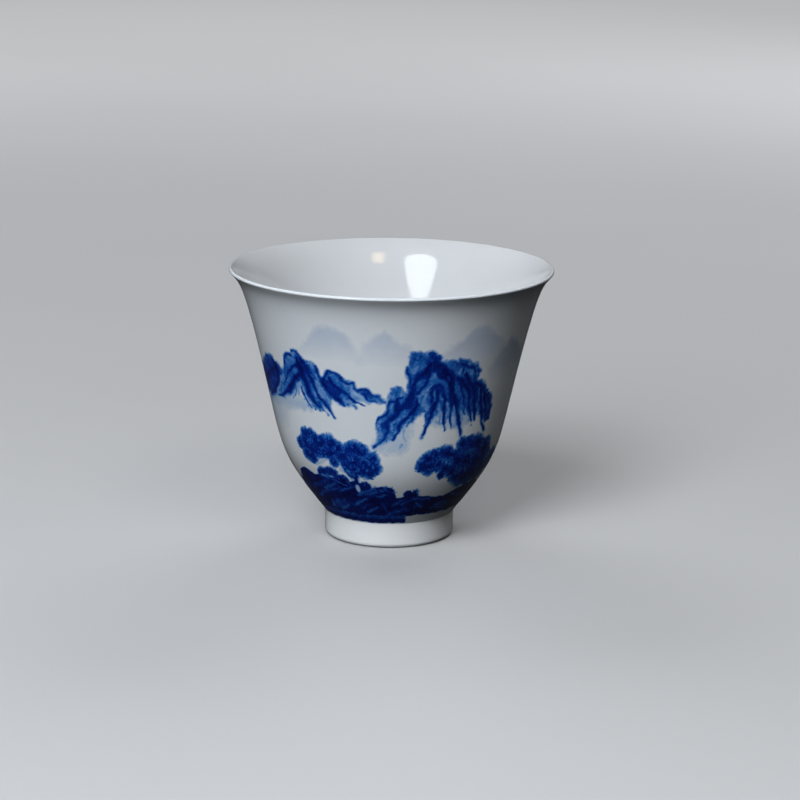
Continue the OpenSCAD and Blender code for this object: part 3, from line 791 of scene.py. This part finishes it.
def paint_left_bank():
    shore("left_bank", [(-74.5, 12.6), (-68, 14), (-64, 15.8), (-60.4, 18), (-57, 18.9), (-52, 18.9),
        (-46, 18), (-42, 18.3), (-30, 18.4), (-26, 18.8), (-22, 17.6), (-16, 17.6), (-12.6, 18),
        (-10.6, 17), (-9.8, 16), (-7.4, 16.5), (-4.6, 16.9), (0.6, 16.8), (2.6, 16.4), (3.4, 15),
        (4.6, 13.9), (7, 13.7), (9.4, 14.1), (10, 15.6), (12.4, 15.8), (14, 15.3), (16.2, 16),
        (16.8, 14.6), (17.8, 14.1)], 64, 0.2, 46)
    foliage([(-28.4, 18.4, 1), (-25.4, 18.2, 1.1), (-13.4, 16.8, 1.3), (-7, 15.7, 0.9), (-3.4, 15.9, 1),
        (0.4, 15.8, 1), (11, 14.9, 0.9), (15.4, 15.2, 0.8)], 65, rim=0.66)
    gleam(1.2, 0.6, (-46, 9.6), (-41, 10.8), (-36, 12))
    gleam(0.9, 0.66, (-56, 11.6), (-48, 13), (-41, 14.2), (-35, 14.8), (-30, 15.7))
    gleam(0.9, 0.72, (-50, 14.4), (-44, 15.8), (-38, 17.4))
    gleam(0.6, 0.64, (-42, 18.2), (-36, 18.1), (-30, 17.3), (-25, 16.6))
    gleam(0.6, 0.6, (-24.6, 18), (-22.4, 16.6))
    gleam(0.9, 0.74, (-30, 11), (-24, 11.4))
    gleam(0.7, 0.64, (-8.4, 14.2), (-5, 14), (-1.4, 14.6))
    gleam(0.6, 0.72, (-5.4, 12.4), (-3, 11.4), (-2.6, 9.8))
    gleam(0.9, 0.74, (9.6, 10.8), (14, 10))
    turns = [math.radians(30 * k) for k in range(12)]
    spot = [(-18.2 + 1.6 * math.cos(t), 16.1 + 1.1 * math.sin(t)) for t in turns]
    wash(spot, 0.1, rough=0.1, soft=0.35, only_darker=False, grain=0)
    gleam(0.7, 0.26, (-21.6, 18.8), (-20.6, 18.4))
    gleam(0.8, 0.28, (-14.4, 18.9), (-13, 18.5))


def paint_right_bank():
    shore("right_bank", [(17.8, 14.1), (24, 14), (30, 13.5), (38, 13.4), (44, 14.4), (60, 16), (75, 14),
        (84.4, 13)], 66, -0.06, 26)
    gleam(1.3, 0.62, (18.4, 12), (22.4, 11))
    gleam(1.2, 0.68, (36, 11.6), (44, 10.2))


def paint_back_hills():
    start_motif("back_hills")
    far_hill([(94, 48), (100, 52), (105, 53.4), (111, 53.8), (116, 52.6), (122, 51.4), (129, 48.4),
        (120, 45), (104, 45)], 0.16, 44, 53.5)
    far_hill([(143, 45), (151, 49.6), (157, 52), (162, 53.6), (168, 53), (174, 51), (181, 49.8),
        (187, 46.4), (174, 43), (156, 43)], 0.18, 42, 53)
    far_hill([(232, 46.6), (241, 51.4), (247, 53), (253, 54.2), (259, 53.2), (265, 51), (273, 48),
        (262, 45), (244, 45)], 0.15, 44, 54)


def mountain(line, foot, summits, seed):
    """A range of the same kind, whose dark folds fall from its summits, [angle, height]."""
    random = np.random.default_rng(seed)
    rock(line + [(a, z - 2.6) for a, z in reversed(foot)], 0.47, foot)
    low = np.array(foot, float)
    for angle, top in summits:
        for side in (-1, 1):
            for k in range(4):
                start = angle + side * random.uniform(0.2, 0.8) * (k + 0.4)
                head = top - 0.6 - 0.8 * k * random.uniform(0.6, 1.3)
                run = side * random.uniform(4.5, 9)
                end = max(np.interp(start + run, low[:, 0], low[:, 1]) - 1.2, head - 8.5)
                sway = random.uniform(0.35, 0.5)
                middle = (start + run * sway, head + (end - head) * (sway + random.uniform(-0.06, 0.06)))
                fold(random.uniform(0.9, 1.9), random.uniform(0.84, 0.96), (start, head), middle,
                    (start + run, end), thin=0.35)
                if k % 2:
                    shift = side * random.uniform(1, 1.6)
                    gleam(0.8, random.uniform(0.42, 0.56), (start + shift, head - 0.2),
                        (middle[0] + shift, middle[1]))
    fold(0.6, 0.82, *line, thin=0.9)
    dabs(len(line) * 9, line, 0.4, 1.1, 0.4, 0.72, seed + 1)
    dabs(len(line) * 3, foot, 0.2, 2, 0.4, 0.5, seed + 2)


def paint_back_range():
    start_motif("back_range")
    mist([(90, 36), (110, 36), (135, 36.6), (146, 37), (134, 34), (112, 33), (94, 34)], 0.15)
    mist([(206, 37), (228, 37), (252, 37), (264, 37.4), (248, 34.6), (224, 34)], 0.15)
    mountain([(88, 37), (92, 39.4), (97, 41.4), (102, 43.4), (106, 42.4), (111, 44.6), (114, 45.8),
        (117, 46.2), (119.6, 45), (122, 44), (128, 42), (132, 41.6), (136, 41), (143, 39.4), (150, 38)],
        [(88, 37), (100, 37.6), (112, 38.4), (124, 37.6), (136, 37.6), (150, 37.6)], [(102, 43.4),
        (111.6, 44.8), (117, 46.2), (130, 41.8)], 74)
    mountain([(204, 37.6), (210, 40.4), (216, 42.6), (221, 45), (224, 46.4), (226, 46.6), (228.6, 45.6),
        (231, 44.4), (237, 42.8), (244, 43.8), (250, 42.2), (258, 40), (268, 38.4)], [(204, 37.4),
        (216, 38), (226, 39), (238, 38), (250, 38), (268, 38)], [(218, 43.2), (225.4, 46.6), (233, 43.6),
        (244.6, 43.6), (254, 41)], 77)


def paint_back_trees():
    start_motif("back_trees")
    fold(1.2, 0.97, (184, 20), (183.4, 18.6), (182.6, 17), thin=0.9, pale=0)
    fold(1.1, 0.97, (171, 20.6), (173, 19), (175, 17), thin=0.9, pale=0)
    foliage([(163.6, 22.2, 1.6), (167, 23.6, 2), (171, 25.4, 2.1), (170, 22, 1.8), (175.4, 27.2, 2),
        (179.6, 27.4, 2), (174.6, 24.2, 2.1), (179.4, 24.6, 2.2), (184.4, 25.8, 2.1), (177, 22, 1.7),
        (182.4, 22.2, 2), (187, 23.4, 1.9), (190.6, 24, 1.9), (194.4, 22.8, 1.8), (198, 21.8, 1.4),
        (189, 21, 1.3)], 72)


def paint_back_bank():
    shore("back_bank", [(84.5, 13), (96, 12.4), (108, 12.8), (122, 13.8), (136, 13), (150.5, 14.2)], 81,
        0.08, 34)
    shore("back_bank", [(150, 14.2), (155, 15.6), (160, 16.4), (170, 17.6), (177, 17.7), (184, 18),
        (191, 17.4), (198, 17.2), (208, 15), (216.5, 13.4)], 82, 0.18, 34)
    shore("back_bank", [(216, 13.4), (230, 12.6), (246, 12.2), (262, 12.8), (274, 13), (286, 12.5)], 83,
        0.08, 34)
    foliage([(92, 12.4, 0.9), (110, 12.8, 1), (113, 12.6, 0.8), (133, 13, 1), (160, 15.8, 1),
        (201, 16, 1.1), (205, 15, 0.9), (228, 12.4, 0.9), (252, 12, 1), (256, 12, 0.8), (276, 12.6, 0.9)],
        84, rim=0.66)


def paint_base_line():
    """The line round the foot of the print, with a paler gap above it."""
    start_motif("base_line")
    start, stop, low, high, gap = 75, 373.6, 6.3, 7.5, 8.5
    wash([(start, high - 0.2), (start, gap), (stop, gap), (stop, high - 0.2)], 0.7, 0.1, 0.4, grain=0.2)
    wash([(start, low), (start, high), (stop, high), (stop, low)], 0.92, 0.1, 0.2, 0.05, grain=0.3)


paint_distant_hills()
paint_back_hills()
paint_left_range()
paint_main_peak()
paint_back_range()
paint_left_trees()
paint_right_trees()
paint_back_trees()
paint_left_bank()
paint_right_bank()
paint_back_bank()
paint_base_line()


def mottle():
    """Uneven firing: the middle tones of the ink drift a little darker and lighter."""
    drift = 0.26 * (cloud(0.8, 71, 3) - 0.5) + 0.1 * (cloud(0.35, 91, 1) - 0.5)
    return ink + drift * 4 * ink * (1 - ink) * smooth(0.2, 0.45, ink)


ink = mottle()

# ---------------------------------------------------------------- the print's films

FILM_RISE = 0.03
FILM_SINK = 0.01


def film(node, slot, material):
    """The film of one motif: a fine sheet that rises from the glaze where there is ink."""
    mine = owner == motifs.index(node)
    inked = ink > 0.004
    cells = mine & (inked | np.roll(inked, -1, 1))
    cells[:-1] |= mine[:-1] & (inked[1:] | np.roll(inked, -1, 1)[1:])
    cells[-1] = False
    row, col = np.nonzero(cells)
    right = (col + 1) % COLS
    corners = np.column_stack(
        [row * COLS + col, row * COLS + right, (row + 1) * COLS + right, (row + 1) * COLS + col]
    )
    used, faces = np.unique(corners, return_inverse=True)
    faces = faces.reshape(corners.shape)
    row, col = used // COLS, used % COLS
    amount = ink[row, col]
    height = HEIGHTS[row]
    way = np.column_stack(
        [np.interp(height, WALL_SAMPLES[:, 1], WALL_WAYS[:, k]) for k in (0, 1)]
    )
    rise = FILM_RISE * smooth(0, 0.05, amount) - FILM_SINK * (1 - smooth(0, 0.05, amount))
    radius = RADII[row] + rise * way[:, 0]
    east, north = np.sin(np.radians(ANGLES[col])), -np.cos(np.radians(ANGLES[col]))
    points = np.column_stack([radius * east, radius * north, height + rise * way[:, 1]])
    normals = np.column_stack([way[:, 0] * east, way[:, 0] * north, way[:, 1]])
    piece = new_piece("printed_" + node, points, faces.tolist(), material, normals)
    attribute = piece.data.attributes.new("ink", "FLOAT", "POINT")
    attribute.data.foreach_set("value", amount.astype(np.float32))
    stand_for(piece, slot, node)


# ---------------------------------------------------------------- materials


class Nodes:
    """A material's node tree, with short ways to add and join nodes."""

    def __init__(self, name):
        self.material = bpy.data.materials.new(name)
        self.material.use_nodes = True
        self.tree = self.material.node_tree
        self.shader = self.tree.nodes["Principled BSDF"]
        self.place = self.add("ShaderNodeTexCoord").outputs["Object"]

    def add(self, kind, **settings):
        node = self.tree.nodes.new(kind)
        for key, value in settings.items():
            setattr(node, key, value)
        return node

    def join(self, output, node, socket):
        self.tree.links.new(output, node.inputs[socket])

    def noise(self, scale, detail):
        node = self.add("ShaderNodeTexNoise")
        node.inputs["Scale"].default_value = scale
        node.inputs["Detail"].default_value = detail
        self.join(self.place, node, "Vector")
        return node.outputs["Fac"]

    def ramp(self, value, stops):
        node = self.add("ShaderNodeValToRGB")
        ramp = node.color_ramp
        while len(ramp.elements) < len(stops):
            ramp.elements.new(1)
        for element, (position, colour) in zip(ramp.elements, stops):
            element.position = position
            element.color = (*colour, 1)
        self.join(value, node, "Fac")
        return node.outputs["Color"]

    def math(self, operation, first, second):
        node = self.add("ShaderNodeMath", operation=operation)
        for socket, value in enumerate((first, second)):
            if isinstance(value, (int, float)):
                node.inputs[socket].default_value = value
            else:
                self.join(value, node, socket)
        return node.outputs["Value"]

    def mix(self, factor, first, second):
        node = self.add("ShaderNodeMix", data_type="RGBA")
        colours = [s for s in node.inputs if s.type == "RGBA"]
        if isinstance(factor, (int, float)):
            node.inputs["Factor"].default_value = factor
        else:
            self.join(factor, node, "Factor")
        for socket, value in zip(colours, (first, second)):
            if isinstance(value, tuple):
                socket.default_value = (*value, 1)
            else:
                self.tree.links.new(value, socket)
        return [s for s in node.outputs if s.type == "RGBA"][0]

    def bump(self, height, distance, strength):
        node = self.add("ShaderNodeBump")
        node.inputs["Strength"].default_value = strength
        node.inputs["Distance"].default_value = distance
        self.join(height, node, "Height")
        self.join(node.outputs["Normal"], self.shader, "Normal")


PORCELAIN_WHITE = (0.84, 0.88, 0.93)
PORCELAIN_SHADE = (0.81, 0.85, 0.90)
# The real cup has one glaze. Inside the cup it is given darker tones as painted shade, and on the foot
# lighter tones as painted light, to match the light there.
INSIDE_SHADED_WHITE = (0.65, 0.664, 0.688)
INSIDE_SHADED_TINT = (0.63, 0.644, 0.668)
FOOT_LIT_WHITE = (0.93, 0.95, 0.97)
FOOT_LIT_TINT = (0.91, 0.93, 0.95)
GLAZE_ROUGHNESS = 0.09
GLAZE_IOR = 1.5
CLAY_ROUGHNESS = 0.7


def glaze_white(nodes, bright=PORCELAIN_WHITE, shade=PORCELAIN_SHADE):
    """The body seen through clear glaze: a cool white that drifts slightly, with a few faint specks."""
    drift = nodes.noise(55, 2)
    white = nodes.ramp(drift, [(0.35, bright), (0.65, shade)])
    specks = nodes.add("ShaderNodeTexVoronoi")
    specks.inputs["Scale"].default_value = 260
    nodes.join(nodes.place, specks, "Vector")
    spot = nodes.ramp(specks.outputs["Distance"], [(0.03, (1, 1, 1)), (0.06, (0, 0, 0))])
    return nodes.mix(nodes.math("MULTIPLY", spot, 0.35), white, (0.5, 0.52, 0.56))


def glaze_finish(nodes):
    """Glossy glass over clay, whose surface waves very slightly."""
    nodes.shader.inputs["Roughness"].default_value = GLAZE_ROUGHNESS
    nodes.shader.inputs["IOR"].default_value = GLAZE_IOR
    nodes.bump(nodes.noise(150, 1), 0.00004, 0.5)


def glaze_material(name, bright, shade):
    nodes = Nodes(name)
    nodes.join(glaze_white(nodes, bright, shade), nodes.shader, "Base Color")
    glaze_finish(nodes)
    return nodes.material


COBALT_RAMP = [
    (0.10, (0.56, 0.66, 0.80)),
    (0.25, (0.26, 0.45, 0.75)),
    (0.50, (0.019, 0.150, 0.53)),
    (0.75, (0.001, 0.028, 0.29)),
    (1.00, (0.0003, 0.0008, 0.065)),
]
WASH_RAMP = [
    (0.10, (0.64, 0.71, 0.83)),
    (0.20, (0.50, 0.59, 0.74)),
    (0.50, (0.22, 0.31, 0.48)),
]


def print_material(name, stops, grain):
    """Ceramic ink under the glaze: the ink attribute picks its depth, and it is slightly grainy."""
    nodes = Nodes(name)
    amount = nodes.add("ShaderNodeAttribute", attribute_name="ink").outputs["Fac"]
    fine = nodes.math("SUBTRACT", nodes.noise(2600, 1), 0.5)
    uneven = nodes.math("MULTIPLY", nodes.math("MULTIPLY", fine, amount), grain)
    amount = nodes.math("ADD", amount, uneven)
    colour = nodes.ramp(amount, [(0.0, stops[0][1])] + stops)
    share = nodes.math("MULTIPLY", amount, 1 / stops[0][0])
    share.node.use_clamp = True
    nodes.join(nodes.mix(share, glaze_white(nodes), colour), nodes.shader, "Base Color")
    glaze_finish(nodes)
    return nodes.material


def biscuit_material():
    """Bare fired porcelain: off-white, dull and finely grained."""
    nodes = Nodes("bare_porcelain")
    tone = nodes.ramp(nodes.noise(900, 3), [(0.3, (0.70, 0.69, 0.66)), (0.7, (0.80, 0.79, 0.77))])
    nodes.join(tone, nodes.shader, "Base Color")
    nodes.shader.inputs["Roughness"].default_value = CLAY_ROUGHNESS
    nodes.bump(nodes.noise(4000, 3), 0.00003, 0.6)
    return nodes.material


clear_glaze = glaze_material("clear_glaze", PORCELAIN_WHITE, PORCELAIN_SHADE)
# The inner coat's glaze: the clear glaze darkened by painted shade.
inner_glaze = glaze_material("inner_glaze", INSIDE_SHADED_WHITE, INSIDE_SHADED_TINT)
# The foot coat's glaze: the clear glaze lightened by painted light.
foot_glaze = glaze_material("foot_glaze", FOOT_LIT_WHITE, FOOT_LIT_TINT)
cobalt_print = print_material("cobalt_print", COBALT_RAMP, 0.25)
pale_wash = print_material("pale_wash", WASH_RAMP, 0.12)
bare_porcelain = biscuit_material()

# ---------------------------------------------------------------- the pot's pieces


def foot_ring_piece():
    """The ring that the cup stands on, of bare clay with a rounded outer edge."""
    edge_r = RING_EDGE_R
    outer = FOOT_R - GLAZE_T
    root_in, edge_in = FOOT_R - RING_ROOT_T, FOOT_R - RING_EDGE_T
    lean = np.array([-1, (edge_in - root_in) / (FOOT_H - RING_CHAMFER) * -1])
    chamfer = np.array([-1, -1]) / math.sqrt(2)
    down = np.array([0, -1])
    corner = np.array([outer - edge_r, edge_r])
    section = [
        (np.array([root_in, FOOT_H]), lean),
        (np.array([edge_in, RING_CHAMFER]), lean),
        (np.array([edge_in, RING_CHAMFER]), chamfer),
        (np.array([edge_in + RING_CHAMFER, 0]), chamfer),
        (np.array([edge_in + RING_CHAMFER, 0]), down),
    ]
    section += arc(corner, edge_r, -90, 0, 12)
    section.append((np.array([outer, FOOT_H]), np.array([1, 0])))
    piece = turned_piece(
        "foot_ring_biscuit", [p for p, w in section], [w for p, w in section], bare_porcelain
    )
    stand_for(piece, "porcelain", "foot_ring")


def foot_coat_piece():
    """Glaze on the outside of the foot ring, which stops above the bearing edge."""
    corner = np.array([FOOT_R - GLAZE_T - RING_EDGE_R, RING_EDGE_R])
    profile = arc(corner, RING_EDGE_R + GLAZE_T, GLAZE_STOP, 0, CORNER_STEPS)
    profile.append((np.array([FOOT_R, FOOT_H]), np.array([1.0, 0.0])))
    # The foot's glaze tones carry painted light.
    stand_for(coat("foot_glaze_coat", profile, GLAZE_T, foot_glaze), "glaze", "foot_glaze")


def base_coat_piece():
    """Glaze under the base and down the inside of the foot ring."""
    root_in, edge_in = FOOT_R - RING_ROOT_T, FOOT_R - RING_EDGE_T
    side = np.array([-1.0, -0.1])
    corner_r = 0.8
    corner = np.array([root_in - GLAZE_T - corner_r, FOOT_H - GLAZE_T - corner_r])
    profile = [(np.array([0.0, FOOT_H - GLAZE_T]), np.array([0.0, -1.0]))]
    for point, way in arc(corner, corner_r, 90, 0, CORNER_STEPS):
        profile.append((point, -way))
    profile.append((np.array([edge_in - GLAZE_T, RING_CHAMFER]), side))
    stand_for(coat("base_glaze_coat", profile, GLAZE_T, clear_glaze), "glaze", "base_glaze")


def pot_pieces():
    stand_for(coat("outer_glaze_coat", outside_profile(), GLAZE_T, clear_glaze), "glaze", "outer_glaze")
    # The inner coat carries painted shade in its glaze tones.
    stand_for(coat("inner_glaze_coat", inside_profile(), GLAZE_T, inner_glaze), "glaze", "inner_glaze")
    foot_ring_piece()
    foot_coat_piece()
    base_coat_piece()
    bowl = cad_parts["porcelain_bowl"]
    for slot in bowl.material_slots:
        slot.material = bare_porcelain


pot_pieces()
for motif in motifs[1:]:
    if motif in ("distant_hills", "back_hills"):
        film(motif, "pale_wash", pale_wash)
    else:
        film(motif, "cobalt_print", cobalt_print)

# ---------------------------------------------------------------- the floor, the lights and the camera


FLOOR_REACH = 6000.0
BACKDROP_R = 3000.0
BACKDROP_H = 5000.0
BACKDROP_SIDES = 96
GLOW_START = 0.45
GLOW_FULL = 1.4
GLOW_STRENGTH = 0.43
WORLD_STRENGTH = 0.025


def studio_grey():
    """A pale grey that glows a little beyond the lamps' reach, so that its tone stays even."""
    nodes = Nodes("studio_grey")
    tone = nodes.ramp(nodes.noise(3, 2), [(0.3, (0.55, 0.55, 0.56)), (0.7, (0.58, 0.58, 0.59))])
    nodes.join(tone, nodes.shader, "Base Color")
    nodes.shader.inputs["Roughness"].default_value = 0.6
    nodes.shader.inputs["Emission Color"].default_value = (0.97, 0.985, 1.0, 1)
    distance = nodes.add("ShaderNodeVectorMath", operation="LENGTH")
    nodes.join(nodes.place, distance, "Vector")
    glow = nodes.add("ShaderNodeMapRange", interpolation_type="SMOOTHSTEP")
    nodes.join(distance.outputs["Value"], glow, "Value")
    glow.inputs["From Min"].default_value = GLOW_START
    glow.inputs["From Max"].default_value = GLOW_FULL
    glow.inputs["To Max"].default_value = GLOW_STRENGTH
    nodes.join(glow.outputs["Result"], nodes.shader, "Emission Strength")
    return nodes.material


def stage_piece(name, points, faces, material):
    """A piece of the studio, which the cup neither reflects nor is lit by."""
    piece = new_piece(name, points, faces, material)
    piece.visible_diffuse = False
    piece.visible_glossy = False
    return piece


def floor_and_backdrop():
    """A wide pale floor, and a round wall far behind it on every side."""
    material = studio_grey()
    reach = FLOOR_REACH
    corners = [(-reach, -reach, 0), (reach, -reach, 0), (reach, reach, 0), (-reach, reach, 0)]
    stage_piece("studio_floor", corners, [(0, 1, 2, 3)], material)
    sides = BACKDROP_SIDES
    turns = np.arange(sides) * math.tau / sides
    ring = [(BACKDROP_R * math.sin(a), BACKDROP_R * math.cos(a)) for a in turns]
    points = [(x, y, z) for z in (-1.0, BACKDROP_H) for x, y in ring]
    faces = [(i, (i + 1) % sides, sides + (i + 1) % sides, sides + i) for i in range(sides)]
    stage_piece("studio_backdrop", points, faces, material).visible_shadow = False


CUP_MIDDLE = Vector((0, 0, CUP_H / 2 * MM))


def softbox(
    name, azimuth, elevation, distance, wide, high, power, colour,
    glossy=True, diffuse=True, shape="RECTANGLE",
):
    """A flat lamp that faces the cup; azimuth is in degrees from -Y towards +X."""
    a, e = math.radians(azimuth), math.radians(elevation)
    way = Vector((math.sin(a) * math.cos(e), -math.cos(a) * math.cos(e), math.sin(e)))
    data = bpy.data.lights.new(name, "AREA")
    data.shape = shape
    data.size, data.size_y = wide, high
    data.energy = power
    data.color = colour
    lamp = bpy.data.objects.new(name, data)
    lamp.location = CUP_MIDDLE + distance * way
    lamp.rotation_euler = way.to_track_quat("Z", "Y").to_euler()
    lamp.visible_glossy = glossy
    lamp.visible_diffuse = diffuse
    bpy.context.scene.collection.objects.link(lamp)


def studio():
    floor_and_backdrop()
    softbox("key_softbox", -26, 30, 0.9, 0.40, 0.44, 3.6, (0.92, 0.97, 1.0), shape="ELLIPSE")
    softbox("top_softbox", -22, 48, 0.9, 0.4, 0.4, 4.2, (0.94, 0.97, 1.0), glossy=False)
    softbox("foot_softbox", 28, 50, 0.9, 0.3, 0.3, 0.95, (1.0, 0.99, 0.97), glossy=False)
    softbox("warm_lamp", 12, 39, 0.9, 0.135, 0.23, 0.6, (1.0, 0.72, 0.34), diffuse=False)
    softbox("right_back_softbox", 150, 30, 1.1, 0.6, 0.5, 4.0, (0.96, 0.98, 1.0), glossy=False)
    softbox("left_back_softbox", 215, 35, 1.1, 0.6, 0.5, 3.6, (0.96, 0.98, 1.0), glossy=False)
    world = bpy.data.worlds.new("studio_world")
    world.use_nodes = True
    world.node_tree.nodes["Background"].inputs["Color"].default_value = (0.9, 0.95, 1.0, 1)
    world.node_tree.nodes["Background"].inputs["Strength"].default_value = WORLD_STRENGTH
    bpy.context.scene.world = world
    bpy.context.scene.view_settings.view_transform = "Standard"


CAMERA_PLACE = (0, -0.6, 0.1782)
CAMERA_YAW = -0.218
CAMERA_DOWN = 13.725
CAMERA_ROLL = 0.639
CAMERA_LENS = 118.96


def camera():
    """The photograph's view, from about 60 cm away."""
    data = bpy.data.cameras.new("camera")
    data.lens = CAMERA_LENS
    data.sensor_width = 36.0
    eye = bpy.data.objects.new("camera", data)
    turn = Matrix.Rotation(math.radians(CAMERA_YAW), 4, "Z")
    tilt = Matrix.Rotation(math.radians(90 - CAMERA_DOWN), 4, "X")
    roll = Matrix.Rotation(math.radians(CAMERA_ROLL), 4, "Z")
    eye.matrix_world = Matrix.Translation(CAMERA_PLACE) @ turn @ tilt @ roll
    bpy.context.scene.collection.objects.link(eye)
    bpy.context.scene.camera = eye


studio()
camera()
